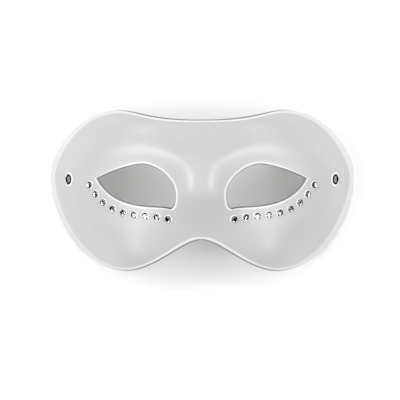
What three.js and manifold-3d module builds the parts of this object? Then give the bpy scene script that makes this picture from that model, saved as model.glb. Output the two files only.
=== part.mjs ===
// Rhinestone masquerade mask: a moulded half mask, two side eyelets, nine stones below each eye.
// Millimetres. +X to the viewer's right, +Y to the forehead, +Z out of the face.
// The mask lies face up and rests on its two side rims in the plane z = 0.
import * as THREE from "three";
import Module from "manifold-3d";

// Driving dimensions
const dome = {
  radius: 97.2, // curve across the face, also the height of the dome's pole
  length: 76.0, // half axis of the dome up and down the face
  drop: 40.7, // how far the dome's own centre lies below the rest plane
  middle: 6.5, // y of the dome's pole
};
const wall = 1.6;
const rimBulge = 0.8; // the rim and the eye edges are half round
const trimBelow = 0; // the side rims are cut flat at this height

// Soft relief on the dome
const nose = {
  height: 9.5,
  top: 30.1, // where the ridge starts to rise, in y
  run: 28.1, // over which it reaches its height
  width: 15.3,
  crest: 2.1, // rounding of the ridge's crest
  bell: 1.85, // 1 is a gable with straight flanks, 2 a bell
  tip: 0.9, // where it starts to fall away again, in y
  fall: 15.1,
};
const root = { height: 3.5, x: 0, y: 21.4, halfWidth: 22.1, halfHeight: 14.5 };
const lobe = { height: 4.0, x: 29.8, y: 40, halfWidth: 27.3, halfHeight: 8 };
const brow = { height: 2.2, x: 38, y: 24, arch: 0.005, below: 7.5, above: 9.2, reach: 29.1 };
const socket = { depth: 4.2, x: 41.9, y: 1.5, halfWidth: 28.8, halfHeight: 21.8 };
const cheek = { height: 9.5, x: 42, y: -44, halfWidth: 20.9, halfHeight: 14.1 };
const blend = 5; // how softly the two halves' relief meets at the centre line

// Curves of the right half, each part one cubic with its four handles
const rimCurve = [
  [[0, 39.8], [30.8, 39.8], [36.9, 46.1], [47.5, 46.1]], // forehead dip and crown lobe
  [[47.5, 46.1], [75.2, 46.1], [89.3, 17.4], [89.3, 8.0]], // down the side
  [[89.3, 8.0], [89.3, -8.5], [72.6, -46.4], [44.3, -46.4]], // to the cheek lobe
  [[44.3, -46.4], [26.7, -46.4], [9.8, -28.0], [0, -28.0]], // nose arch
];
const eyeCurve = [
  [[59.2, 6.6], [49.3, 12.0], [37.1, 14.6], [33.3, 14.6]], // upper lid, from the outer corner
  [[33.3, 14.6], [25.6, 14.6], [15.0, 6.9], [14.4, -1.3]], // round the inner side
  [[14.4, -1.3], [14.4, -5.2], [14.6, -9.6], [17.5, -10.1]], // to the inner corner
  [[17.5, -10.1], [24.4, -7.6], [48.8, -12.6], [59.2, 6.6]], // lower lid
];
const stoneRow = [[18.4, -16.0], [38.4, -12.3], [51.7, -17.2], [63.9, 3.2]];
const eyeMiddle = [34, 3];

// How finely the shell is faceted
const mesh = { rim: [13, 13, 14, 11], bridge: 21, rings: 8, edgeSteps: 3 };

const stone = {
  count: 9, // below each eye
  radius: 2.0,
  back: 0.2, // gap to the shell
  girdle: 0.5,
  table: 1.6,
  tableRadius: 1.1,
  midRadius: 1.62,
  sides: 8,
};
const eyelet = {
  x: 76.7,
  y: 6.4,
  bore: 2.05,
  barrel: 2.4,
  flange: 3.1,
  clearance: 0.3, // round the barrel, in the shell's hole
  lift: 0.2, // gap under the flanges
  thickness: 0.5,
  segments: 28,
};

const wasm = await Module();
wasm.setup();

// Curves
function pointOn([a, b, c, d], t) {
  const s = 1 - t;
  return [0, 1].map(
    (k) =>
      s ** 3 * a[k] +
      3 * s * s * t * b[k] +
      3 * s * t * t * c[k] +
      t ** 3 * d[k],
  );
}

// count + 1 points along one cubic, equally spaced in plan.
function spacedPoints(cubic, count) {
  const fine = 400;
  const pts = Array.from({ length: fine + 1 }, (_, i) => pointOn(cubic, i / fine));
  const run = [0];
  for (let i = 1; i <= fine; i++)
    run.push(run[i - 1] + Math.hypot(pts[i][0] - pts[i - 1][0], pts[i][1] - pts[i - 1][1]));
  const out = [];
  let j = 0;
  for (let i = 0; i <= count; i++) {
    const goal = (run[fine] * i) / count;
    while (j < fine - 1 && run[j + 1] < goal) j++;
    const f = (goal - run[j]) / (run[j + 1] - run[j]);
    out.push([0, 1].map((k) => pts[j][k] + f * (pts[j + 1][k] - pts[j][k])));
  }
  return out;
}

// Surface of the face
function ease(t) {
  const u = Math.min(1, Math.max(0, t));
  return u * u * (3 - 2 * u);
}

function relief(x, y) {
  const a = Math.hypot(x, blend);
  const aside = (Math.hypot(x, nose.crest) - nose.crest) / nose.width;
  const ridge =
    nose.height *
    ease((nose.top - y) / nose.run) *
    Math.exp(-((Math.max(0, nose.tip - y) / nose.fall) ** 2)) *
    Math.exp(-(aside ** nose.bell));
  const offBrow = y - brow.y + brow.arch * (a - brow.x) ** 2;
  const browRise =
    brow.height *
    Math.exp(-((offBrow / (offBrow > 0 ? brow.above : brow.below)) ** 2)) *
    Math.exp(-(((a - brow.x) / brow.reach) ** 4));
  const oval = (o) => ((a - o.x) / o.halfWidth) ** 2 + ((y - o.y) / o.halfHeight) ** 2;
  return (
    ridge +
    browRise +
    root.height * Math.exp(-oval(root)) +
    lobe.height * Math.exp(-oval(lobe)) -
    socket.depth * Math.exp(-(oval(socket) ** 1.5)) +
    cheek.height * Math.exp(-oval(cheek))
  );
}

function height(x, y) {
  const q = 1 - (x / dome.radius) ** 2 - ((y - dome.middle) / dome.length) ** 2;
  return dome.radius * Math.sqrt(Math.max(q, 0.01)) - dome.drop + relief(x, y);
}

function surfacePoint([x, y]) {
  return new THREE.Vector3(x, y, height(x, y));
}

function surfaceNormal([x, y]) {
  const h = 0.05;
  const dx = x === 0 ? 0 : (height(x + h, y) - height(x - h, y)) / (2 * h);
  const dy = (height(x, y + h) - height(x, y - h)) / (2 * h);
  return new THREE.Vector3(-dx, -dy, 1).normalize();
}

// Shell
// The right half is a ring of cells from the eye opening out to the rim and the centre line.
function outerLoop() {
  const loop = [];
  const kinds = [];
  rimCurve.forEach((cubic, part) => {
    spacedPoints(cubic, mesh.rim[part])
      .slice(0, -1)
      .forEach((p) => {
        loop.push(p);
        kinds.push("rim");
      });
  });
  const [apex, top] = [rimCurve[3][3], rimCurve[0][0]];
  for (let i = 0; i < mesh.bridge; i++) {
    loop.push([0, apex[1] + ((top[1] - apex[1]) * i) / mesh.bridge]);
    kinds.push(i === 0 ? "rim" : "bridge");
  }
  return { loop, kinds };
}

// The point of the eye opening that faces each point of the outer loop.
function innerLoop(loop) {
  const lid = eyeCurve.flatMap((cubic) => spacedPoints(cubic, 60).slice(0, -1));
  const turn = ([x, y]) => Math.atan2(y - eyeMiddle[1], x - eyeMiddle[0]);
  const gap = (a, b) => Math.abs(Math.atan2(Math.sin(a - b), Math.cos(a - b)));
  const corners = [eyeCurve[0][0], eyeCurve[3][0]];
  const facing = loop.map((p) =>
    lid.reduce((best, q) => (gap(turn(q), turn(p)) < gap(turn(best), turn(p)) ? q : best)),
  );
  for (const corner of corners) {
    const near = loop.reduce(
      (best, p, i) => (gap(turn(p), turn(corner)) < gap(turn(loop[best]), turn(corner)) ? i : best),
      0,
    );
    facing[near] = corner;
  }
  return facing;
}

// Moves each point of a loop back into the material by the rim's bulge.
function drawBack(loop, kinds, inward) {
  const n = loop.length;
  return loop.map((p, i) => {
    if (kinds[i] === "bridge") return { end: p, out: null };
    const symmetric = p[0] === 0;
    const before = symmetric ? [-loop[(i + 1) % n][0], loop[(i + 1) % n][1]] : loop[(i + n - 1) % n];
    const after = symmetric && i === 0 ? loop[1] : loop[(i + 1) % n];
    const next = symmetric && i > 0 ? loop[i - 1] : after;
    const prev = symmetric ? [-next[0], next[1]] : before;
    const along = surfacePoint(next).sub(surfacePoint(prev)).normalize();
    const normal = surfaceNormal(p);
    const out = along.clone().cross(normal).normalize();
    if (out.x * inward[i][0] + out.y * inward[i][1] > 0) out.negate();
    if (symmetric) out.setX(0).normalize();
    return { end: [p[0] - out.x * rimBulge, p[1] - out.y * rimBulge], out };
  });
}

function shellHalf() {
  const { loop, kinds } = outerLoop();
  const n = loop.length;
  const eye = innerLoop(loop);
  const outward = loop.map((p, i) => [p[0] - eye[i][0], p[1] - eye[i][1]]);
  const rim = drawBack(loop, kinds, outward.map(([x, y]) => [-x, -y]));
  const lid = drawBack(eye, kinds.map(() => "rim"), outward);
  const vertices = [];
  const push = (v) => vertices.push(v) - 1;
  const outer = [];
  const inner = [];
  for (let j = 0; j <= mesh.rings; j++) {
    const f = j / mesh.rings;
    const row = loop.map((_, i) => [0, 1].map((k) => lid[i].end[k] * (1 - f) + rim[i].end[k] * f));
    outer.push(row.map((p) => push(surfacePoint(p))));
    inner.push(row.map((p) => push(surfacePoint(p).addScaledVector(surfaceNormal(p), -wall))));
  }
  const triangles = [];
  const quad = (a, b, c, d) => triangles.push([a, b, c], [a, c, d]);
  const strip = (low, high, closed) => {
    for (let i = 0; i < n; i++) {
      const k = (i + 1) % n;
      if (closed || (kinds[i] === "rim" && kinds[k] === "rim"))
        quad(low[i], high[i], high[k], low[k]);
    }
  };
  for (let j = 0; j < mesh.rings; j++) {
    strip(outer[j + 1], outer[j], true);
    strip(inner[j], inner[j + 1], true);
  }
  // A half-round edge from the outer face to the inner one.
  const edge = (ends, from, to) => {
    const rows = [from];
    for (let s = 1; s < mesh.edgeSteps; s++) {
      const turn = (Math.PI * s) / mesh.edgeSteps;
      rows.push(
        ends.map(({ end, out }) => {
          if (!out) return -1;
          const normal = surfaceNormal(end);
          return push(
            surfacePoint(end)
              .addScaledVector(normal, (wall / 2) * (Math.cos(turn) - 1))
              .addScaledVector(out, rimBulge * Math.sin(turn)),
          );
        }),
      );
    }
    rows.push(to);
    return rows;
  };
  const rimRows = edge(rim, outer[mesh.rings], inner[mesh.rings]);
  const lidRows = edge(lid, outer[0], inner[0]);
  for (let s = 0; s < mesh.edgeSteps; s++) {
    strip(rimRows[s + 1], rimRows[s], false);
    strip(lidRows[s], lidRows[s + 1], true);
  }
  return { vertices, triangles };
}

// The right half and its mirror image, sharing the vertices of the centre line.
function wholeShell({ vertices, triangles }) {
  const position = [];
  const index = [];
  const mirror = vertices.map((v, i) => (Math.abs(v.x) < 1e-6 ? i : vertices.length + i));
  vertices.forEach((v) => position.push(Math.abs(v.x) < 1e-6 ? 0 : v.x, v.y, v.z));
  vertices.forEach((v) => position.push(-v.x, v.y, v.z));
  triangles.forEach(([a, b, c]) => {
    index.push(a, b, c);
    index.push(mirror[a], mirror[c], mirror[b]);
  });
  return { position, index };
}

function solidFrom(position, index) {
  const used = new Map();
  const packed = [];
  const triVerts = index.map((i) => {
    if (!used.has(i)) {
      used.set(i, packed.length / 3);
      packed.push(position[3 * i], position[3 * i + 1], position[3 * i + 2]);
    }
    return used.get(i);
  });
  return new wasm.Manifold(
    new wasm.Mesh({
      numProp: 3,
      vertProperties: new Float32Array(packed),
      triVerts: new Uint32Array(triVerts),
    }),
  );
}

function geometryFrom(solid) {
  const m = solid.getMesh();
  return new THREE.BufferGeometry()
    .setAttribute("position", new THREE.BufferAttribute(m.vertProperties, 3))
    .setIndex(new THREE.BufferAttribute(m.triVerts, 1));
}

// The matrix that sets a small part's own z axis along the surface normal at a point.
function seat(x, y) {
  const normal = surfaceNormal([x, y]);
  const turn = new THREE.Quaternion().setFromUnitVectors(new THREE.Vector3(0, 0, 1), normal);
  return new THREE.Matrix4().compose(surfacePoint([x, y]), turn, new THREE.Vector3(1, 1, 1));
}

function eyeletHole(x, y) {
  const length = 6 * wall;
  const radius = eyelet.barrel + eyelet.clearance;
  return wasm.Manifold.cylinder(length, radius, radius, eyelet.segments, true).transform(
    seat(x, y).elements,
  );
}

function shellGeometry() {
  const { position, index } = wholeShell(shellHalf());
  let body = solidFrom(position, index).trimByPlane([0, 0, 1], trimBelow);
  for (const side of [-1, 1]) body = body.subtract(eyeletHole(side * eyelet.x, eyelet.y));
  return geometryFrom(body);
}

// Small parts
// A round-edged front flange with a flat ring, a barrel through the shell, and a rolled back flange.
function eyeletGeometry() {
  const { bore, barrel, flange, lift, thickness } = eyelet;
  const front = lift + thickness;
  const back = -wall - lift;
  const rolled = flange - 0.3;
  const profile = [
    [bore, front - 0.35],
    [bore, back - 0.2],
    [bore + 0.2, back - 0.5],
    [rolled - 0.3, back - 0.5],
    [rolled, back - 0.3],
    [rolled, back - 0.1],
    [rolled - 0.15, back],
    [barrel, back],
    [barrel, lift],
    [flange, lift],
    [flange, lift + 0.15],
    [flange - 0.12, front - 0.12],
    [flange - 0.35, front],
    [bore + 0.35, front],
    [bore + 0.1, front - 0.12],
    [bore, front - 0.35],
  ];
  return new THREE.LatheGeometry(
    profile.map(([r, z]) => new THREE.Vector2(r, z)),
    eyelet.segments,
  ).rotateX(Math.PI / 2);
}

// A flat-backed stone: an eight-sided table, a ring of triangles, a ring of kites, a round girdle.
function stoneGeometry() {
  const { sides, radius, back, girdle, table, tableRadius, midRadius } = stone;
  const step = (2 * Math.PI) / sides;
  const at = (r, k, z) => [r * Math.cos(k * step), r * Math.sin(k * step), z];
  const share = (midRadius * Math.cos(step / 2) - tableRadius) / (radius - tableRadius);
  const midHeight = table + (girdle - table) * share;
  const faces = [];
  for (let k = 0; k < sides; k++) {
    const [t0, t1] = [at(tableRadius, k, table), at(tableRadius, k + 1, table)];
    const [m0, m1] = [at(midRadius, k - 0.5, midHeight), at(midRadius, k + 0.5, midHeight)];
    const [g0, g1, g2] = [0, 0.5, 1].map((s) => at(radius, k + s, girdle));
    const [b0, b1, b2] = [0, 0.5, 1].map((s) => at(radius, k + s, back));
    faces.push([[0, 0, table], t0, t1]);
    faces.push([t0, m1, t1]);
    faces.push([t0, m0, g0], [t0, g0, m1]);
    faces.push([m1, g0, g1], [m1, g1, at(radius, k + 1, girdle)]);
    faces.push([g0, b0, b1], [g0, b1, g1], [g1, b1, b2], [g1, b2, g2]);
    faces.push([[0, 0, back], b1, b0], [[0, 0, back], b2, b1]);
  }
  return new THREE.BufferGeometry().setAttribute(
    "position",
    new THREE.Float32BufferAttribute(faces.flat(2), 3),
  );
}

// The part
const mask = new THREE.Group();
mask.name = "masquerade_mask";

function add(name, geometry, colour, metalness, roughness) {
  const material = new THREE.MeshStandardMaterial({ color: colour, metalness, roughness });
  const made = new THREE.Mesh(geometry, material);
  made.name = name;
  mask.add(made);
  return made;
}

add("mask_shell", shellGeometry(), 0xd9d9d8, 0.0, 0.5);

for (const [label, side] of [["left", -1], ["right", 1]]) {
  const ring = eyeletGeometry();
  ring.applyMatrix4(seat(side * eyelet.x, eyelet.y));
  add("eyelet_" + label, ring, 0x5c5b5a, 1.0, 0.25);
  spacedPoints(stoneRow, stone.count - 1).forEach(([x, y], i) => {
    const gem = stoneGeometry();
    gem.applyMatrix4(seat(side * x, y));
    add("rhinestone_" + label + "_" + (i + 1), gem, 0xf4f6f8, 0.0, 0.05);
  });
}

export default mask;
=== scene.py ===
"""Looks of a rhinestone masquerade mask that lies face up on a pale studio floor.

Metres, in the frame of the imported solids: +X to the viewer's right, +Y to the forehead, +Z out of
the face. The mask rests on its two side rims in the plane z = 0.
"""

import logging
import math
from collections.abc import Iterable
from dataclasses import dataclass, field
from enum import Enum
from typing import Any

import bmesh
import bpy
from mathutils import Matrix, Vector
from mathutils.geometry import interpolate_bezier


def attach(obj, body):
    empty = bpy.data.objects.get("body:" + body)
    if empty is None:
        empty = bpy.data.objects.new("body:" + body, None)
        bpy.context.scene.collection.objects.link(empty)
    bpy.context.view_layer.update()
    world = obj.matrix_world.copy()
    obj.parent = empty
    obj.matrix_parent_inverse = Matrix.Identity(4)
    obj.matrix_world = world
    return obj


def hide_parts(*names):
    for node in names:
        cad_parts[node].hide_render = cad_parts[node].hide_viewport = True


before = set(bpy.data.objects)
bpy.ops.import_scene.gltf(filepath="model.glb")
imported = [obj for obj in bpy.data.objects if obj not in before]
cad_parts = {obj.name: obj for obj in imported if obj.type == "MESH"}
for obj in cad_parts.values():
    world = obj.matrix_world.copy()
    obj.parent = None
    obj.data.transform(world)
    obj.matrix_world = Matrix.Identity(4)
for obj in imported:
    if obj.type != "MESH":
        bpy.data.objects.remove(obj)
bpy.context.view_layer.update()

MM = 0.001
WALL = 1.6 * MM  # the shell's thickness
CURVE_STEPS = 600  # how finely a cubic is measured when points are spaced along it
WELD = 0.001 * MM  # points closer than this are one point
SQUARE = math.radians(60)  # an edge that turns by more than this gets rounded
MIX_FACTOR, MIX_FROM, MIX_TO, MIX_RESULT = 0, 6, 7, 2  # a colour Mix node's sockets
LOG = logging.getLogger("mask")


class Side(Enum):
    """The viewer's left or right half of the mask, as a sign along X."""

    LEFT = -1
    RIGHT = 1

    @property
    def word(self) -> str:
        """The side's name as the solids spell it."""
        return self.name.lower()


class Zone(Enum):
    """The shell's differently finished faces, as the index of their material."""

    FRONT = 0
    # pale lip along the rim and the eyes: bare plastic with a painted highlight, widened down the
    # sides as painted sheen
    LIP = 1
    # the cut edge and the front's outermost ring: painted shade, the dark line along the edge
    CUT_EDGE = 2
    INSIDE = 3
    # the eyes' cut edges: a darker painted shade
    EYE_EDGE = 4


class EyeletZone(Enum):
    """The eyelet's differently finished faces, as the index of their material."""

    PLATING = 0
    # the dark plating, standing also for the shade in the bore's mouth
    RUBBED = 1
    # painted highlight: the flange's outer side and the deep bore
    WASHER = 2


class StoneZone(Enum):
    """The stone's differently finished faces, as the index of their material."""

    CRYSTAL = 0
    FOIL = 1
    GLUE = 2


# Shared helpers


def linear(hex_colour: str) -> tuple[float, float, float, float]:
    """Turns an sRGB hex colour into linear RGBA.

    Args:
        hex_colour: Six hex digits after a hash.

    Returns:
        Red, green and blue in 0 to 1 linear light, and an alpha of 1.
    """
    parts = [int(hex_colour[i : i + 2], 16) / 255 for i in (1, 3, 5)]
    red, green, blue = (c / 12.92 if c <= 0.04045 else ((c + 0.055) / 1.055) ** 2.4 for c in parts)
    return red, green, blue, 1.0


def add_node(tree: bpy.types.NodeTree, kind: str, values: dict[str | int, Any] | None = None,
             links: dict[str | int, bpy.types.NodeSocket] | None = None,
             **settings: Any) -> bpy.types.Node:
    """Adds one node with its settings, socket values and incoming links.

    Args:
        tree: The node tree that gets the node.
        kind: The node's type name.
        values: Input sockets, by name or number, and the values set on them.
        links: Input sockets, by name or number, and the output sockets linked to them.
        **settings: Properties of the node itself.

    Returns:
        The new node.
    """
    node = tree.nodes.new(kind)
    for name, value in settings.items():
        setattr(node, name, value)
    for name, value in (values or {}).items():
        node.inputs[name].default_value = value
    for name, source in (links or {}).items():
        tree.links.new(source, node.inputs[name])
    return node


def new_material(name: str) -> tuple[bpy.types.Material, bpy.types.NodeTree]:
    """Makes an empty node material.

    Args:
        name: The material's name.

    Returns:
        The material and its cleared node tree.
    """
    material = bpy.data.materials.new(name)
    material.use_nodes = True
    material.node_tree.nodes.clear()
    return material, material.node_tree


def spaced_points(curve: Iterable[tuple[Vector, ...]], counts: Iterable[int]) -> list[Vector]:
    """Points along a chain of cubics, equally spaced along each one.

    Args:
        curve: Cubics, each with its four handles.
        counts: How many points each cubic gives; its end belongs to the next one.

    Returns:
        The points in order, without the chain's last end.
    """
    points = []
    for (start, lead, follow, end), count in zip(curve, counts):
        fine = interpolate_bezier(start, lead, follow, end, CURVE_STEPS)
        run = [0.0]
        for before, after in zip(fine, fine[1:]):
            run.append(run[-1] + (after - before).length)
        at = 0
        for step in range(count):
            goal = run[-1] * step / count
            while run[at + 1] < goal:
                at += 1
            share = (goal - run[at]) / (run[at + 1] - run[at])
            points.append(fine[at].lerp(fine[at + 1], share))
    return points


def handles(*pairs: tuple[float, float]) -> tuple[Vector, ...]:
    """A cubic's four handles as points.

    Args:
        *pairs: Their places in plan, in millimetres.

    Returns:
        The points, in metres.
    """
    return tuple(Vector((x * MM, y * MM, 0.0)) for x, y in pairs)


def spin_ring(mesh: bmesh.types.BMesh, profile: list[tuple[float, float]],
              steps: int) -> list[bmesh.types.BMFace]:
    """Spins a closed section into a ring about the Z axis.

    Args:
        mesh: The mesh that gets the ring.
        profile: The section's corners as radius and height, in order.
        steps: How many facets the ring has around it.

    Returns:
        The ring's faces, pointing outwards.
    """
    before = set(mesh.faces)
    verts = [mesh.verts.new((radius, 0, height)) for radius, height in profile]
    edges = [mesh.edges.new(pair) for pair in zip(verts, verts[1:] + verts[:1])]
    bmesh.ops.spin(mesh, geom=verts + edges, cent=(0, 0, 0), axis=(0, 0, 1), dvec=(0, 0, 0),
                   angle=2 * math.pi, steps=steps, use_merge=True)
    ring = [f for f in mesh.faces if f not in before]
    bmesh.ops.recalc_face_normals(mesh, faces=ring)
    return ring


def round_off(mesh: bmesh.types.BMesh, edges: list[bmesh.types.BMEdge], radius: float,
              clamped: bool) -> None:
    """Rounds edges.

    Args:
        mesh: The mesh.
        edges: Its edges that get rounded.
        radius: How far in from each edge its rounding starts.
        clamped: Whether every rounding shrinks until none of them meets another.
    """
    bmesh.ops.bevel(mesh, geom=edges, offset=radius, offset_type="OFFSET", segments=4, profile=0.5,
                    affect="EDGES", clamp_overlap=clamped, material=-1)


def as_piece(name: str, mesh: bmesh.types.BMesh, materials: list[bpy.types.Material],
             stands_for: str) -> bpy.types.Object:
    """Turns a bmesh into a piece that rides on the mask and replaces its solid.

    Args:
        name: The piece's name.
        mesh: Its mesh, in the mask's frame; it is freed here.
        materials: The piece's materials, in the order of its faces' indices.
        stands_for: The solid that it replaces.

    Returns:
        The new object.
    """
    data = bpy.data.meshes.new(name)
    mesh.to_mesh(data)
    mesh.free()
    for material in materials:
        data.materials.append(material)
    piece = bpy.data.objects.new(name, data)
    bpy.context.scene.collection.objects.link(piece)
    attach(piece, "root")
    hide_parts(stands_for)
    LOG.info("%s: %d faces, stands for %s", name, len(data.polygons), stands_for)
    return piece


# Finishes


@dataclass(frozen=True)
class SatinLacquer:
    """A thin satin lacquer sprayed on moulded plastic: soft highlights and a faint orange peel."""

    colour: str = "#B8B8B8"
    shade: str = "#B0B0B0"
    roughness: float = 0.4
    cloud: float = 60.0 * MM  # how far apart the spray's slightly thicker patches lie
    peel: float = 1.6 * MM  # the orange peel's ripples, drawn coarser than the real 0.8 mm to show
    peel_depth: float = 0.03 * MM

    def material(self) -> bpy.types.Material:
        """Builds the lacquer's material.

        Returns:
            The material.
        """
        made, tree = new_material("satin_lacquer")
        point = add_node(tree, "ShaderNodeTexCoord").outputs["Object"]
        cloud = add_node(tree, "ShaderNodeTexNoise",
                         {"Scale": 1 / self.cloud, "Detail": 2.0}, {"Vector": point})
        tint = add_node(tree, "ShaderNodeMix",
                        {MIX_FROM: linear(self.colour), MIX_TO: linear(self.shade)},
                        {MIX_FACTOR: cloud.outputs["Fac"]}, data_type="RGBA")
        peel = add_node(tree, "ShaderNodeTexNoise",
                        {"Scale": 1 / self.peel, "Detail": 3.0}, {"Vector": point})
        bump = add_node(tree, "ShaderNodeBump", {"Strength": 0.35, "Distance": self.peel_depth},
                        {"Height": peel.outputs["Fac"]})
        shader = add_node(tree, "ShaderNodeBsdfPrincipled",
                          {"Roughness": self.roughness, "IOR": 1.5, "Coat Weight": 0.3,
                           "Coat Roughness": 0.3},
                          {"Base Color": tint.outputs[MIX_RESULT], "Normal": bump.outputs["Normal"]})
        add_node(tree, "ShaderNodeOutputMaterial", links={"Surface": shader.outputs["BSDF"]})
        return made


@dataclass(frozen=True)
class BarePlasticAndPaintedLight:
    """Uncoated moulded ABS on the mask's inner face, whiter and a little waxy; also the painted light
    on its edges.

    The washers and the dried glue are as dull and pale, so they share it. On the cut edges it is
    painted shade, and on the pale lip bare plastic with a painted highlight. Its tone may change
    towards the
    sides, as in the photo: the cut edges are painted darker in the middle and paler at the sides,
    where more light falls on them. Wear by hands or thinner spray would do that, but the cause is a
    guess.
    """

    name: str
    colour: str
    side_colour: str | None = None  # none where the tone is the same all over
    side_from: float = 50.0 * MM  # how far from the middle the change starts
    side_to: float = 82.0 * MM  # and where it is complete
    roughness: float = 0.5
    grain: float = 0.9 * MM  # the mould's fine spark-eroded grain, drawn coarser than real to show
    grain_depth: float = 0.02 * MM

    def material(self) -> bpy.types.Material:
        """Builds the bare plastic's material.

        Returns:
            The material.
        """
        made, tree = new_material(self.name)
        point = add_node(tree, "ShaderNodeTexCoord").outputs["Object"]
        grain = add_node(tree, "ShaderNodeTexNoise",
                         {"Scale": 1 / self.grain, "Detail": 4.0}, {"Vector": point})
        bump = add_node(tree, "ShaderNodeBump", {"Strength": 0.3, "Distance": self.grain_depth},
                        {"Height": grain.outputs["Fac"]})
        shader = add_node(tree, "ShaderNodeBsdfPrincipled",
                          {"Base Color": linear(self.colour), "Roughness": self.roughness,
                           "IOR": 1.53},
                          {"Normal": bump.outputs["Normal"]})
        add_node(tree, "ShaderNodeOutputMaterial", links={"Surface": shader.outputs["BSDF"]})
        # The change towards the sides: on the cut edges it is painted shade that lightens where more
        # light falls on them.
        if self.side_colour:
            place = add_node(tree, "ShaderNodeSeparateXYZ", links={"Vector": point})
            across = add_node(tree, "ShaderNodeMath", links={0: place.outputs["X"]},
                              operation="ABSOLUTE")
            share = add_node(tree, "ShaderNodeMapRange",
                             {"From Min": self.side_from, "From Max": self.side_to},
                             {"Value": across.outputs["Value"]}, interpolation_type="SMOOTHSTEP")
            tint = add_node(tree, "ShaderNodeMix",
                            {MIX_FROM: linear(self.colour), MIX_TO: linear(self.side_colour)},
                            {MIX_FACTOR: share.outputs["Result"]}, data_type="RGBA")
            tree.links.new(tint.outputs[MIX_RESULT], shader.inputs["Base Color"])
        return made


@dataclass(frozen=True)
class EyeletPlating:
    """Plating of a pressed brass eyelet in a dark and a bright copy: the bright one is a painted
    highlight, the dark one also stands for shade in the bore.
    """

    name: str
    colour: str
    roughness: tuple[float, float] = (0.14, 0.3)  # between the rubbing marks and on them
    rub: float = 0.7 * MM  # spacing of the rubbing marks from threading the tie

    def material(self) -> bpy.types.Material:
        """Builds the plating's material.

        Returns:
            The material.
        """
        made, tree = new_material(self.name)
        point = add_node(tree, "ShaderNodeTexCoord").outputs["Object"]
        rub = add_node(tree, "ShaderNodeTexNoise",
                       {"Scale": 1 / self.rub, "Detail": 5.0}, {"Vector": point})
        rough = add_node(tree, "ShaderNodeMapRange",
                         {"To Min": self.roughness[0], "To Max": self.roughness[1]},
                         {"Value": rub.outputs["Fac"]})
        shader = add_node(tree, "ShaderNodeBsdfPrincipled",
                          {"Base Color": linear(self.colour), "Metallic": 1.0},
                          {"Roughness": rough.outputs["Result"]})
        add_node(tree, "ShaderNodeOutputMaterial", links={"Surface": shader.outputs["BSDF"]})
        return made


@dataclass(frozen=True)
class CutCrystal:
    """Clear machine-cut lead-free crystal: see-through, with sharp polished facets."""

    colour: str = "#FFFFFF"
    ior: float = 1.56

    def material(self) -> bpy.types.Material:
        """Builds the crystal's material.

        Returns:
            The material.
        """
        made, tree = new_material("cut_crystal")
        shader = add_node(tree, "ShaderNodeBsdfPrincipled",
                          {"Base Color": linear(self.colour), "Roughness": 0.0, "IOR": self.ior,
                           "Transmission Weight": 1.0})
        add_node(tree, "ShaderNodeOutputMaterial", links={"Surface": shader.outputs["BSDF"]})
        return made


@dataclass(frozen=True)
class SilverFoil:
    """The silvered, lacquered back of a flat-back rhinestone: a slightly cloudy mirror."""

    colour: str = "#C0C0C0"
    roughness: tuple[float, float] = (0.072, 0.192)  # in the clear spots and in the cloudy ones
    cloud: float = 0.5 * MM  # how far apart the lacquer's cloudy spots lie

    def material(self) -> bpy.types.Material:
        """Builds the foil's material.

        Returns:
            The material.
        """
        made, tree = new_material("silver_foil")
        point = add_node(tree, "ShaderNodeTexCoord").outputs["Object"]
        cloud = add_node(tree, "ShaderNodeTexNoise", {"Scale": 1 / self.cloud}, {"Vector": point})
        rough = add_node(tree, "ShaderNodeMapRange",
                         {"To Min": self.roughness[0], "To Max": self.roughness[1]},
                         {"Value": cloud.outputs["Fac"]})
        shader = add_node(tree, "ShaderNodeBsdfPrincipled",
                          {"Base Color": linear(self.colour), "Metallic": 1.0},
                          {"Roughness": rough.outputs["Result"]})
        add_node(tree, "ShaderNodeOutputMaterial", links={"Surface": shader.outputs["BSDF"]})
        return made


@dataclass(frozen=True)
class StudioPaper:
    """Matt white background paper under the mask."""

    colour: str = "#E7E7E7"

    def material(self) -> bpy.types.Material:
        """Builds the paper's material.

        Returns:
            The material.
        """
        made, tree = new_material("studio_paper")
        shader = add_node(tree, "ShaderNodeBsdfPrincipled",
                          {"Base Color": linear(self.colour), "Roughness": 0.9,
                           "Specular IOR Level": 0.1})
        add_node(tree, "ShaderNodeOutputMaterial", links={"Surface": shader.outputs["BSDF"]})
        return made


# The face's surface


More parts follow.
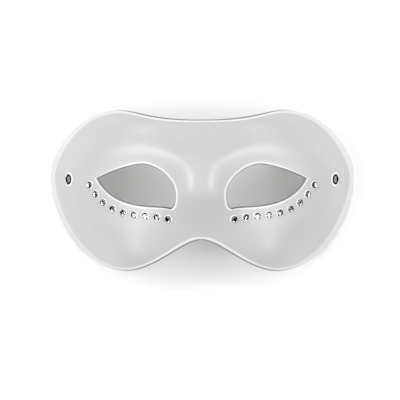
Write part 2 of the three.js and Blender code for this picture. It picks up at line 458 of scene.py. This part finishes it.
@dataclass(frozen=True)
class FaceSurface:
    """The front of the mask as a height over its plan: a dome with soft relief on it."""

    dome_radius: float = 97.2 * MM
    dome_length: float = 76.0 * MM
    dome_drop: float = 40.7 * MM
    dome_middle: float = 6.5 * MM
    dome_least: float = 0.01  # keeps the dome's square root real beyond its foot
    nose_height: float = 9.5 * MM
    nose_top: float = 30.1 * MM
    nose_run: float = 28.1 * MM
    nose_width: float = 15.3 * MM
    nose_crest: float = 2.1 * MM  # rounding of the ridge's crest
    nose_bell: float = 1.85  # 1 is a gable with straight flanks, 2 a bell
    nose_tip: float = 0.9 * MM
    nose_fall: float = 15.1 * MM
    root_height: float = 3.5 * MM
    root_middle: tuple[float, float] = (0.0, 21.4 * MM)
    root_half: tuple[float, float] = (22.1 * MM, 14.5 * MM)
    lobe_height: float = 4.0 * MM
    lobe_middle: tuple[float, float] = (29.8 * MM, 40.0 * MM)
    lobe_half: tuple[float, float] = (27.3 * MM, 8.0 * MM)
    brow_height: float = 2.2 * MM
    brow_x: float = 38.0 * MM
    brow_y: float = 24.0 * MM
    brow_arch: float = 5.0  # drop per metre of distance squared
    brow_below: float = 7.5 * MM  # how softly the brow runs out towards the eye
    brow_above: float = 9.2 * MM  # and towards the forehead
    brow_reach: float = 29.1 * MM
    socket_depth: float = 4.2 * MM
    socket_middle: tuple[float, float] = (41.9 * MM, 1.5 * MM)
    socket_half: tuple[float, float] = (28.8 * MM, 21.8 * MM)
    cheek_height: float = 9.5 * MM
    cheek_middle: tuple[float, float] = (42.0 * MM, -44.0 * MM)
    cheek_half: tuple[float, float] = (20.9 * MM, 14.1 * MM)
    blend: float = 5.0 * MM  # how softly the two halves' relief meets at the centre line
    slope_step: float = 0.05 * MM  # how far to each side the slope is measured

    def relief(self, x: float, y: float) -> float:
        """The relief on the dome: nose ridge and root, brow, lobe, eye socket and cheek.

        Args:
            x: The place in plan, across the face.
            y: The place in plan, up the face.

        Returns:
            How far the face stands out of the dome there.
        """
        across = math.hypot(x, self.blend)
        rise = min(1.0, max(0.0, (self.nose_top - y) / self.nose_run))
        fall = math.exp(-((max(0.0, self.nose_tip - y) / self.nose_fall) ** 2))
        aside = (math.hypot(x, self.nose_crest) - self.nose_crest) / self.nose_width
        ridge = rise * rise * (3 - 2 * rise) * fall * math.exp(-(aside ** self.nose_bell))
        off_brow = y - self.brow_y + self.brow_arch * (across - self.brow_x) ** 2
        width = self.brow_above if off_brow > 0 else self.brow_below
        brow = math.exp(-((off_brow / width) ** 2) - ((across - self.brow_x) / self.brow_reach) ** 4)
        socket = self.bowl(across, y, self.socket_middle, self.socket_half) ** 1.5
        cheek = self.bowl(across, y, self.cheek_middle, self.cheek_half)
        root = self.bowl(across, y, self.root_middle, self.root_half)
        lobe = self.bowl(across, y, self.lobe_middle, self.lobe_half)
        return (self.nose_height * ridge + self.root_height * math.exp(-root)
                + self.lobe_height * math.exp(-lobe) + self.brow_height * brow
                - self.socket_depth * math.exp(-socket) + self.cheek_height * math.exp(-cheek))

    @staticmethod
    def bowl(x: float, y: float, middle: tuple[float, float], half: tuple[float, float]) -> float:
        """Squared distance from an oval's middle, 1 on the oval itself."""
        return ((x - middle[0]) / half[0]) ** 2 + ((y - middle[1]) / half[1]) ** 2

    def height(self, x: float, y: float) -> float:
        """Height of the front face.

        Args:
            x: The place in plan, across the face.
            y: The place in plan, up the face.

        Returns:
            The height over the plane that the mask lies on.
        """
        left = 1 - (x / self.dome_radius) ** 2 - ((y - self.dome_middle) / self.dome_length) ** 2
        relief = self.relief(x, y)
        return self.dome_radius * math.sqrt(max(left, self.dome_least)) - self.dome_drop + relief

    def point(self, place: Vector) -> Vector:
        """The point of the front face over a place in plan."""
        return Vector((place.x, place.y, self.height(place.x, place.y)))

    def normal(self, place: Vector) -> Vector:
        """The outward normal of the front face.

        Args:
            place: Where in plan.

        Returns:
            The unit normal.
        """
        x, y, step = place.x, place.y, self.slope_step
        slope_x = (self.height(x + step, y) - self.height(x - step, y)) / (2 * step)
        slope_y = (self.height(x, y + step) - self.height(x, y - step)) / (2 * step)
        return Vector((-slope_x, -slope_y, 1)).normalized()

    def seat(self, place: Vector) -> Matrix:
        """The transform that stands a small part on the front face.

        Args:
            place: Where in plan.

        Returns:
            A matrix that takes +Z to the face's normal and the origin to the face.
        """
        turn = Vector((0, 0, 1)).rotation_difference(self.normal(place)).to_matrix().to_4x4()
        return Matrix.Translation(self.point(place)) @ turn


# Sub-assemblies


@dataclass
class MaskShell:
    """The one-piece moulded shell with its eye openings and its holes for the eyelets."""

    face: FaceSurface
    hole_at: Vector
    edge_round: float = 0.5 * MM
    hole_radius: float = 2.7 * MM
    hole_margin: float = 0.3 * MM  # how far past the hole a face may reach and still be cleared
    hole_reach: float = 8.0 * MM  # edges this close to the hole's middle are its own
    rings: int = 28  # between the lip along the rim and the one along the eye
    edge_band: float = 1.0 * MM  # the outermost ring, which takes the rounded edge and the cut edge's painted shade
    # The lip is bare plastic with a painted highlight of the rounded rim; where it widens down the
    # side and over the nose it paints more of that highlight and sheen.
    rim_lip: float = 2.0 * MM  # how far in from the edge the lip reaches
    side_lip: float = 1.7 * MM  # how much farther halfway down the side
    arch_lip: float = 0.7 * MM  # and how much farther over the nose
    lip_power: int = 3  # how steeply the lip widens towards both
    eye_lip: float = 1.7 * MM  # how far out from the eye's edge its lip reaches
    seam: float = 0.3 * MM  # the rings' spacing at the centre line, where there is no lip
    level_reach: float = 1.0 * MM  # how far from a zone the cut goes that levels it
    level_snap: float = 0.01 * MM  # points this close to that cut count as on it
    rim_counts: tuple[int, ...] = (46, 46, 50, 38)  # points on each of the rim's curves
    bridge_count: int = 86  # points on the centre line
    eye_counts: tuple[int, ...] = (400, 400, 160, 400)  # points to choose from on the eye's curves
    flat_from: float = 0.985  # a face that points this far outward isn't on a rounded edge
    rim: tuple[tuple[Vector, ...], ...] = (
        handles((0, 39.8), (30.8, 39.8), (36.9, 46.1), (47.5, 46.1)),  # forehead dip, crown lobe
        handles((47.5, 46.1), (75.2, 46.1), (89.3, 17.4), (89.3, 8.0)),  # down the side
        handles((89.3, 8.0), (89.3, -8.5), (72.6, -46.4), (44.3, -46.4)),  # to the cheek lobe
        handles((44.3, -46.4), (26.7, -46.4), (9.8, -28.0), (0, -28.0)),  # nose arch
    )
    eye: tuple[tuple[Vector, ...], ...] = (
        handles((59.2, 6.6), (49.3, 12.0), (37.1, 14.6), (33.3, 14.6)),  # upper lid
        handles((33.3, 14.6), (25.6, 14.6), (15.0, 6.9), (14.4, -1.3)),  # round the inner side
        handles((14.4, -1.3), (14.4, -5.2), (14.6, -9.6), (17.5, -10.1)),  # to the inner corner
        handles((17.5, -10.1), (24.4, -7.6), (48.8, -12.6), (59.2, 6.6)),  # lower lid
    )
    eye_middle: Vector = field(default_factory=lambda: Vector((34 * MM, 3 * MM, 0)))
    eye_reach: tuple[float, float] = (28 * MM, 16 * MM)  # half of a box that holds the opening

    def turn(self, place: Vector) -> float:
        """Angle of a place in plan about the middle of the eye."""
        return math.atan2(place.y - self.eye_middle.y, place.x - self.eye_middle.x)

    def outer_places(self) -> list[Vector]:
        """The half's outer loop: down the rim, then back up the centre line.

        Returns:
            Its points in plan.
        """
        low, top = self.rim[-1][-1], self.rim[0][0]
        bridge = [low.lerp(top, i / self.bridge_count) for i in range(self.bridge_count)]
        return spaced_points(self.rim, self.rim_counts) + bridge

    def eye_places(self, outer: list[Vector]) -> list[Vector]:
        """The eye opening's edge, one point facing each point of the outer loop.

        Args:
            outer: The outer loop in plan.

        Returns:
            As many points on the eye's edge, its two corners among them.
        """
        edge = spaced_points(self.eye, self.eye_counts)

        def apart(a: float, b: float) -> float:
            """The angle between two directions."""
            return abs(math.remainder(a - b, 2 * math.pi))

        turns = [self.turn(p) for p in edge]
        facing = []
        for place in outer:
            goal = self.turn(place)
            facing.append(edge[min(range(len(edge)), key=lambda i: apart(turns[i], goal))])
        for corner in (self.eye[0][0], self.eye[3][0]):
            goal = self.turn(corner)
            facing[min(range(len(outer)), key=lambda i: apart(self.turn(outer[i]), goal))] = corner
        return facing

    @staticmethod
    def grow_ring(mesh: bmesh.types.BMesh, ring: list[bmesh.types.BMVert],
                  places: list[Vector]) -> tuple[list[bmesh.types.BMVert], list[bmesh.types.BMEdge]]:
        """Extrudes a ring of points to the next one.

        Args:
            mesh: The sheet so far.
            ring: The points that it grows from.
            places: Where the new points go, one for each point of the ring.

        Returns:
            The new ring and the edges that join it to the old one.
        """
        known = set(ring)
        edges = [e for e in mesh.edges if e.verts[0] in known and e.verts[1] in known]
        grown = bmesh.ops.extrude_edge_only(mesh, edges=edges)["geom"]
        fresh = {v for v in grown if isinstance(v, bmesh.types.BMVert)}
        spokes = [next(e for e in vert.link_edges if e.other_vert(vert) in fresh) for vert in ring]
        ends = [spoke.other_vert(vert) for spoke, vert in zip(spokes, ring)]
        for end, place in zip(ends, places):
            end.co = place
        return ends, spokes

    @staticmethod
    def mark_ring(spokes: list[bmesh.types.BMEdge], zones: Iterable[Zone]) -> None:
        """Gives the faces of a ring their zones.

        Args:
            spokes: The ring's cross edges, in order.
            zones: The zone of each face from a spoke to the next one.
        """
        for spoke, following, zone in zip(spokes, spokes[1:] + spokes[:1], zones):
            shared = set(spoke.link_faces) & set(following.link_faces)
            shared.pop().material_index = zone.value

    def lip_widths(self, outer: list[Vector]) -> list[float]:
        """How far in from the rim the lip reaches: farther at the side and over the nose.

        Args:
            outer: The outer loop in plan.

        Returns:
            A width for each of its points.
        """
        widest = max(p.x for p in outer)
        return [self.rim_lip + self.side_lip * (p.x / widest) ** self.lip_power
                + self.arch_lip * (1 - p.x / widest) ** self.lip_power * (p.y < 0) for p in outer]

    def half_sheet(self) -> bmesh.types.BMesh:
        """The right half as one sheet of rings from the outer loop in to the eye.

        Returns:
            The sheet, with a narrow lip ring along the rim and one along the eye's edge.
        """
        outer = self.outer_places()
        lid = self.eye_places(outer)
        ways = [(inner - place).normalized() for place, inner in zip(outer, lid)]
        mesh = bmesh.new()
        bmesh.ops.create_circle(mesh, segments=len(outer), radius=1.0)
        ring = list(mesh.verts)
        for vert, place in zip(ring, outer):
            vert.co = place
        rim_ends = (0, sum(self.rim_counts))
        on_rim = [p.x > 0 or i in rim_ends for i, p in enumerate(outer)]
        beside_rim = [any(pair) for pair in zip(on_rim, on_rim[1:] + on_rim[:1])]
        lips = self.lip_widths(outer)
        bands = [[self.edge_band if rimmed else self.seam for rimmed in on_rim],
                 [lip if rimmed else 2 * self.seam for lip, rimmed in zip(lips, on_rim)]]
        # The outermost ring gets the cut edge's painted shade, the next the lip with its painted
        # highlight.
        for widths, zone in zip(bands, (Zone.CUT_EDGE, Zone.LIP)):
            places = [p + way * width for p, way, width in zip(outer, ways, widths)]
            ring, spokes = self.grow_ring(mesh, ring, places)
            self.mark_ring(spokes, [zone if rimmed else Zone.FRONT for rimmed in beside_rim])
        eye_lip = [p - way * self.eye_lip for p, way in zip(lid, ways)]
        ring, field_spokes = self.grow_ring(mesh, ring, eye_lip)
        self.mark_ring(field_spokes, [Zone.FRONT] * len(field_spokes))
        _, spokes = self.grow_ring(mesh, ring, lid)
        self.mark_ring(spokes, [Zone.LIP] * len(spokes))
        bmesh.ops.subdivide_edges(mesh, edges=field_spokes, cuts=self.rings, use_grid_fill=True)
        for i in rim_ends:
            corner, band = outer[i], outer[i] + ways[i] * self.edge_band
            self.level_zone(mesh, Zone.CUT_EDGE, corner, band)
            self.level_zone(mesh, Zone.LIP, band, outer[i] + ways[i] * lips[i])
        return mesh

    def level_zone(self, mesh: bmesh.types.BMesh, zone: Zone, near: Vector, far: Vector) -> None:
        """Levels a zone beside the centre line, where the slanting rings would leave a notch.

        Args:
            mesh: The half sheet in plan.
            zone: The zone.
            near: Where the zone starts on the spoke of the rim's end, on its side nearest the rim.
            far: Where it ends on that spoke.
        """
        low, high = sorted((near.y, far.y))
        beside = [f for f in mesh.faces if min(v.co.x for v in f.verts) < far.x
                  and low - self.level_reach < f.calc_center_median().y < high + self.level_reach]
        edges = dict.fromkeys(e for f in beside for e in f.edges)  # each once, in a fixed order
        corners = dict.fromkeys(v for f in beside for v in f.verts)
        bmesh.ops.bisect_plane(mesh, geom=[*beside, *edges, *corners], dist=self.level_snap,
                               plane_co=far, plane_no=(0, 1, 0))
        for surface in mesh.faces:
            place = surface.calc_center_median()
            if place.x < far.x and low < place.y < high:
                surface.material_index = zone.value

    def open_hole(self, mesh: bmesh.types.BMesh) -> None:
        """Opens the round hole for the eyelet in the half sheet.

        Args:
            mesh: The half sheet, already raised to the face.
        """
        middle, normal = self.face.point(self.hole_at), self.face.normal(self.hole_at)
        reach = self.hole_radius + self.hole_margin
        inside = [f for f in mesh.faces if (f.calc_center_median() - middle).length < reach]
        bmesh.ops.delete(mesh, geom=inside, context="FACES")
        edge = {v for e in mesh.edges if e.is_boundary for v in e.verts
                if (v.co - middle).length < self.hole_reach}
        for vert in edge:
            flat = vert.co - middle
            flat -= normal * flat.dot(normal)
            vert.co = self.face.point(middle + flat.normalized() * self.hole_radius)

    def build(self, finishes: list[bpy.types.Material]) -> bpy.types.Object:
        """Builds the whole shell: mirrored, given its wall, edges rounded, rims cut flat.

        Args:
            finishes: The materials of the zones, in their order.

        Returns:
            The shell piece.
        """
        mesh = self.half_sheet()
        for vert in mesh.verts:
            vert.co = self.face.point(vert.co)
        self.open_hole(mesh)
        bmesh.ops.mirror(mesh, geom=mesh.verts[:] + mesh.edges[:] + mesh.faces[:], axis="X",
                         merge_dist=WELD)
        bmesh.ops.remove_doubles(mesh, verts=mesh.verts[:], dist=WELD)
        bmesh.ops.recalc_face_normals(mesh, faces=mesh.faces[:])
        if sum(f.normal.z for f in mesh.faces) < 0:
            bmesh.ops.reverse_faces(mesh, faces=mesh.faces[:])
        bmesh.ops.solidify(mesh, geom=mesh.faces[:], thickness=WALL)
        self.round_edges(mesh)
        self.cut_rims(mesh)
        for surface in mesh.faces:
            surface.smooth = True
            self.mark_zone(surface)
        return as_piece("moulded_shell", mesh, finishes, "mask_shell")

    def outward(self, surface: bmesh.types.BMFace) -> float:
        """How far a face of the shell points out of the front.

        Args:
            surface: The face.

        Returns:
            1 on the front, 0 on an edge and -1 inside.
        """
        return surface.normal.dot(self.face.normal(surface.calc_center_median()))

    def mark_zone(self, surface: bmesh.types.BMFace) -> None:
        """Gives a face of the finished shell its zone.

        Args:
            surface: The face; on the front it already knows a lip from the lacquered field.
        """
        outward, place = self.outward(surface), surface.calc_center_median()
        if outward < -self.flat_from:
            surface.material_index = Zone.INSIDE.value
        # Faces on the rounded and cut edges get painted shade, darker at the eyes.
        elif outward < self.flat_from:
            at_eye = (abs(abs(place.x) - self.eye_middle.x) < self.eye_reach[0]
                      and abs(place.y - self.eye_middle.y) < self.eye_reach[1])
            surface.material_index = (Zone.EYE_EDGE if at_eye else Zone.CUT_EDGE).value

    def round_edges(self, mesh: bmesh.types.BMesh) -> None:
        """Rounds the rim and the eyes' edges, and leaves the eyelets' holes sharp.

        Args:
            mesh: The closed shell with square edges.
        """
        holes = [self.face.point(Vector((s.value * self.hole_at.x, self.hole_at.y, 0))) for s in Side]
        square = [e for e in mesh.edges if e.calc_face_angle(0.0) > SQUARE]
        at_holes = {e for e in square
                    if any((e.verts[0].co - h).length < self.hole_reach for h in holes)}
        for edge in at_holes:
            edge.smooth = False
        round_off(mesh, [e for e in square if e not in at_holes], self.edge_round, clamped=False)

    @staticmethod
    def cut_rims(mesh: bmesh.types.BMesh) -> None:
        """Cuts the side rims flat in the plane that the mask lies on.

        Args:
            mesh: The closed shell, whose side rims reach below that plane.
        """
        cut = bmesh.ops.bisect_plane(mesh, geom=mesh.verts[:] + mesh.edges[:] + mesh.faces[:],
                                     plane_co=(0, 0, 0), plane_no=(0, 0, -1), clear_outer=True)
        edges = [e for e in cut["geom_cut"] if isinstance(e, bmesh.types.BMEdge)]
        bmesh.ops.triangle_fill(mesh, edges=edges, use_beauty=True)
        for edge in edges:
            edge.smooth = False


@dataclass
class Eyelet:
    """A pressed metal eyelet on a thin pale washer: a flange, a barrel and a rolled back flange."""

    face: FaceSurface
    side: Side
    place: Vector
    bore: float = 2.05 * MM
    barrel: float = 2.4 * MM
    flange: float = 3.1 * MM
    lift: float = 0.2 * MM  # the gap between a flange and the shell
    thickness: float = 0.5 * MM
    roll: float = 0.3 * MM  # how much narrower the rolled back flange is
    corner_round: float = 0.2 * MM
    bore_margin: float = 0.05 * MM  # how far out from the bore a face may lie and still be in it
    highlight_below: float = 0.6 * MM  # how deep the part of the bore starts that is painted bright, a painted highlight
    highlight_beyond: float = 0.6 * MM  # how far out from the axis the painted highlight on the flange starts
    washer: float = 3.9 * MM
    washer_bore: float = 2.75 * MM
    washer_foot: tuple[float, float] = (0.02 * MM, -0.12 * MM)  # its underside, inside and outside
    washer_top: tuple[float, float] = (0.16 * MM, 0.0)  # its top, the same way
    steps: int = 64

    def profile(self) -> list[tuple[float, float]]:
        """The metal's section.

        Returns:
            Its corners as radius and height, in order.
        """
        front, back = self.lift + self.thickness, -WALL - self.lift
        rolled, end = self.flange - self.roll, back - self.thickness
        return [(self.bore, front), (self.bore, -self.highlight_below), (self.bore, end), (rolled, end),
                (rolled, back), (self.barrel, back), (self.barrel, self.lift),
                (self.flange, self.lift), (self.flange, front)]

    def washer_profile(self) -> list[tuple[float, float]]:
        """The washer's section, whose outer edge dips to follow the shell.

        Returns:
            Its corners as radius and height, in order.
        """
        return [(self.washer_bore, self.washer_foot[0]), (self.washer, self.washer_foot[1]),
                (self.washer, self.washer_top[1]), (self.washer_bore, self.washer_top[0])]

    def is_painted_bright(self, place: Vector) -> bool:
        """Tells where the plating gets its painted highlight.

        Args:
            place: A point of the eyelet before it is set in the shell.

        Returns:
            True deep in the bore and on the outer side of the front flange.
        """
        reach = place.xy.length
        in_bore = reach < self.bore + self.bore_margin and place.z < -self.highlight_below
        crosses = self.side.value * place.x > self.highlight_beyond
        on_flange = (place.z > self.lift + self.thickness / 2
                     and reach < self.flange - self.corner_round)
        return in_bore or (crosses and on_flange)

    def build(self, finishes: list[bpy.types.Material]) -> bpy.types.Object:
        """Spins the section into the eyelet, rounds it and sets it in the shell.

        Args:
            finishes: The dark plating, its parts painted bright as a highlight, and the washer.

        Returns:
            The eyelet piece.
        """
        mesh = bmesh.new()
        spin_ring(mesh, self.profile(), self.steps)
        corners = [e for e in mesh.edges if e.calc_face_angle(0.0) > SQUARE]
        round_off(mesh, corners, self.corner_round, clamped=True)
        for surface in mesh.faces:
            painted_bright = self.is_painted_bright(surface.calc_center_median())
            surface.smooth = True
            surface.material_index = (EyeletZone.RUBBED if painted_bright else EyeletZone.PLATING).value
        for surface in spin_ring(mesh, self.washer_profile(), self.steps):
            surface.material_index = EyeletZone.WASHER.value
        bmesh.ops.transform(mesh, matrix=self.face.seat(self.place), verts=mesh.verts[:])
        return as_piece(f"nickel_eyelet_{self.side.word}", mesh, finishes,
                        f"eyelet_{self.side.word}")


@dataclass
class Rhinestone:
    """One flat-backed stone, cut from a round blank facet by facet."""

    radius: float = 2.0 * MM
    back: float = 0.06 * MM  # heights are over the shell
    girdle: float = 0.5 * MM
    table: float = 1.6 * MM
    table_radius: float = 1.1 * MM
    star_radius: float = 1.62 * MM
    glue_radius: float = 2.45 * MM
    glue_height: float = 0.4 * MM
    glue_gap: float = 0.02 * MM  # between the bead and the stone, and between it and the shell
    sides: int = 8  # of the table
    steps: int = 48  # round the blank and the bead
    back_limit: float = -0.9  # a face whose normal points farther down than this is the back

    def facets(self) -> list[tuple[Vector, Vector]]:
        """The cutting planes of the crown: kites, stars below the table, and girdle facets.

        Returns:
            A point and an outward normal for each plane.
        """
        step = 2 * math.pi / self.sides

        def at(radius: float, turn: float, height: float) -> Vector:
            """A point of the stone, from its radius, angle and height."""
            return Vector((radius * math.cos(turn), radius * math.sin(turn), height))

        share = ((self.star_radius * math.cos(step / 2) - self.table_radius)
                 / (self.radius - self.table_radius))
        star_height = self.table + (self.girdle - self.table) * share
        planes = []
        for k in range(self.sides):
            turn = k * step
            table, after = (at(self.table_radius, turn + s, self.table) for s in (0, step))
            star = at(self.star_radius, turn + step / 2, star_height)
            before = at(self.star_radius, turn - step / 2, star_height)
            low, middle, end = (at(self.radius, turn + s, self.girdle) for s in (0, step / 2, step))
            for a, b, c in ((table, before, star), (table, star, after), (star, low, middle),
                            (star, middle, end)):
                normal = (b - a).cross(c - a).normalized()
                planes.append((a, normal if normal.z > 0 else -normal))
        return planes

    def cut(self) -> bmesh.types.BMesh:
        """Cuts the stone from its blank, with foil on its back and glue round its foot.

        Returns:
            The stone, face up on the origin.
        """
        mesh = bmesh.new()
        bmesh.ops.create_cone(mesh, cap_ends=True, segments=self.steps, radius1=self.radius,
                              radius2=self.radius, depth=self.table - self.back)
        bmesh.ops.translate(mesh, verts=mesh.verts[:], vec=(0, 0, (self.table + self.back) / 2))
        for point, normal in self.facets():
            made = bmesh.ops.bisect_plane(mesh, geom=mesh.verts[:] + mesh.edges[:] + mesh.faces[:],
                                          plane_co=point, plane_no=normal, clear_outer=True)
            edges = [e for e in made["geom_cut"] if isinstance(e, bmesh.types.BMEdge)]
            if edges:
                bmesh.ops.contextual_create(mesh, geom=edges)
        bmesh.ops.recalc_face_normals(mesh, faces=mesh.faces[:])
        for surface in mesh.faces:
            zone = StoneZone.FOIL if surface.normal.z < self.back_limit else StoneZone.CRYSTAL
            surface.smooth = False
            surface.material_index = zone.value
        self.add_glue(mesh)
        return mesh

    def add_glue(self, mesh: bmesh.types.BMesh) -> None:
        """Lays the bead of dried glue round the stone's foot.

        Args:
            mesh: The cut stone.
        """
        inner, low = self.radius + self.glue_gap, self.glue_gap
        profile = [(inner, low), (self.glue_radius, low), (inner, self.glue_height)]
        for surface in spin_ring(mesh, profile, self.steps):
            surface.smooth = True
            surface.material_index = StoneZone.GLUE.value


@dataclass
class RhinestoneRow:
    """The nine stones that follow the lower lid on one side."""

    face: FaceSurface
    side: Side
    stone: Rhinestone
    count: int = 9
    path: tuple[Vector, ...] = handles((18.4, -16.0), (38.4, -12.3), (51.7, -17.2), (63.9, 3.2))

    def places(self) -> list[Vector]:
        """Where the stones sit, equally spaced along the row.

        Returns:
            Their places in plan, from the nose out.
        """
        points = spaced_points([self.path], [self.count - 1]) + [self.path[-1]]
        return [Vector((self.side.value * p.x, p.y, 0)) for p in points]

    def build(self, materials: list[bpy.types.Material]) -> list[bpy.types.Object]:
        """Cuts each stone and sets it on the shell.

        Args:
            materials: The stones' crown, their foil back and the glue round them.

        Returns:
            The stone pieces, from the nose out.
        """
        pieces = []
        for number, place in enumerate(self.places(), start=1):
            mesh = self.stone.cut()
            bmesh.ops.transform(mesh, matrix=self.face.seat(place), verts=mesh.verts[:])
            pieces.append(as_piece(f"crystal_{self.side.word}_{number}", mesh, materials,
                                   f"rhinestone_{self.side.word}_{number}"))
        return pieces


# Studio


@dataclass(frozen=True)
class Softbox:
    """A rectangular soft light that looks at the mask."""

    name: str
    place: tuple[float, float, float]
    size: tuple[float, float]
    watts: float
    shines: bool = True  # whether glossy surfaces show it
    aim_height: float = 20 * MM

    def aim(self) -> Vector:
        """The point that it looks at, halfway in from its own place."""
        return Vector((0, self.place[1] / 2, self.aim_height))


@dataclass
class Studio:
    """Pale paper floor, soft studio light from the sides and the forehead, camera overhead."""

    floor_half: float = 3.0
    floor_drop: float = 0.05 * MM  # how far under the mask the floor lies, so they don't touch
    camera_height: float = 1.2
    camera_offset: float = 15 * MM
    pixel: float = 0.5833 * MM  # width of one of the picture's pixels on the floor
    picture_px: int = 400
    middle_px: tuple[float, float] = (202.3, 190.4)  # where the picture shows the mask's middle
    sensor_mm: float = 36.0  # the lens is in millimetres too
    room_light: float = 0.68
    softboxes: tuple[Softbox, ...] = (
        Softbox("left_strip", (-1.35, 0.0, 1.2), (1.5, 0.35), 19.0),
        Softbox("right_strip", (1.35, 0.0, 1.2), (1.5, 0.35), 17.5),
        Softbox("forehead_softbox", (-0.2, 1.1, 1.7), (0.8, 0.5), 10.0, shines=False),
    )

    def floor(self, paper: StudioPaper) -> None:
        """Lays the floor just under the mask.

        Args:
            paper: What it is made of.
        """
        mesh = bmesh.new()
        bmesh.ops.create_grid(mesh, x_segments=1, y_segments=1, size=self.floor_half)
        data = bpy.data.meshes.new("paper_floor")
        mesh.to_mesh(data)
        mesh.free()
        data.materials.append(paper.material())
        sheet = bpy.data.objects.new("paper_floor", data)
        sheet.location.z = -self.floor_drop
        bpy.context.scene.collection.objects.link(sheet)

    @staticmethod
    def aimed(location: Vector, target: Vector, up: Vector) -> Matrix:
        """The transform of a camera or light at a place, looking at a target.

        Args:
            location: Where it stands.
            target: What it looks at.
            up: The direction that is up in its picture.

        Returns:
            Its world matrix.
        """
        back = (location - target).normalized()
        right = up.cross(back).normalized()
        turn = Matrix((right, back.cross(right), back)).transposed().to_4x4()
        return Matrix.Translation(location) @ turn

    def camera(self) -> None:
        """Stands the camera over the mask so that it fills the picture as photographed."""
        data = bpy.data.cameras.new("overhead")
        data.sensor_width = self.sensor_mm
        data.lens = self.sensor_mm * self.camera_height / (self.picture_px * self.pixel)
        half = self.picture_px / 2
        target = Vector((half - self.middle_px[0], self.middle_px[1] - half, 0)) * self.pixel
        eye = bpy.data.objects.new("overhead", data)
        eye.matrix_world = self.aimed(Vector((self.camera_offset, 0, self.camera_height)), target,
                                      Vector((0, 1, 0)))
        bpy.context.scene.collection.objects.link(eye)
        bpy.context.scene.camera = eye

    def hang(self, box: Softbox) -> None:
        """Hangs a soft light.

        Args:
            box: The light.
        """
        data = bpy.data.lights.new(box.name, "AREA")
        data.shape = "RECTANGLE"
        data.size, data.size_y = box.size
        data.energy = box.watts
        light = bpy.data.objects.new(box.name, data)
        light.matrix_world = self.aimed(Vector(box.place), box.aim(), Vector((0, 0, 1)))
        light.visible_camera = False
        light.visible_glossy = box.shines
        bpy.context.scene.collection.objects.link(light)

    def light(self) -> None:
        """Sets the room's even light and the soft boxes."""
        world = bpy.data.worlds.new("studio_room")
        world.use_nodes = True
        room = world.node_tree.nodes["Background"]
        room.inputs["Color"].default_value = (1, 1, 1, 1)
        room.inputs["Strength"].default_value = self.room_light
        world.cycles_visibility.glossy = False
        world.cycles_visibility.transmission = False
        bpy.context.scene.world = world
        for box in self.softboxes:
            self.hang(box)
        bpy.context.scene.view_settings.view_transform = "Standard"

    def build(self) -> None:
        """Builds the whole studio."""
        self.floor(StudioPaper())
        self.light()
        self.camera()


def main() -> None:
    """Builds the mask's pieces in order, then the studio."""
    logging.basicConfig(level=logging.INFO, format="%(message)s")
    face = FaceSurface()
    eyelet_at = Vector((76.7 * MM, 6.4 * MM, 0))
    shell_finishes = (SatinLacquer(),
                      # The lip is bare plastic with a painted highlight; the cut edges are painted
                      # shade, darker in the middle and paler at the sides where more light falls.
                      BarePlasticAndPaintedLight("bare_lip_and_highlight", "#D4D4D4", "#CCCCCC", 38 * MM, 56 * MM),
                      BarePlasticAndPaintedLight("cut_edge", "#7C7C7C", "#CCCCCC", 33 * MM, 55 * MM),
                      BarePlasticAndPaintedLight("bare_moulded_plastic", "#CCCCCA"),
                      BarePlasticAndPaintedLight("eye_edge_painted_shade", "#5E5E5E", "#787878", 26 * MM, 54 * MM))
    # The plating's bright copy is a painted highlight; its dark copy also stands for the shade in the
    # bore's mouth.
    eyelet_finishes = (EyeletPlating("dark_plate_and_shade", "#222120"),
                       EyeletPlating("plate_painted_highlight", "#E8E6E4", (0.4, 0.55)),
                       BarePlasticAndPaintedLight("pale_washer", "#F6F6F4"))
    stone_finishes = (CutCrystal(), SilverFoil(), BarePlasticAndPaintedLight("dried_glue", "#FAFAF8"))
    shell, metal, crystal = ([finish.material() for finish in finishes]
                             for finishes in (shell_finishes, eyelet_finishes, stone_finishes))
    MaskShell(face, eyelet_at).build(shell)
    for side in Side:
        Eyelet(face, side, Vector((side.value * eyelet_at.x, eyelet_at.y, 0))).build(metal)
        RhinestoneRow(face, side, Rhinestone()).build(crystal)
    Studio().build()


if __name__ == "__main__":
    main()
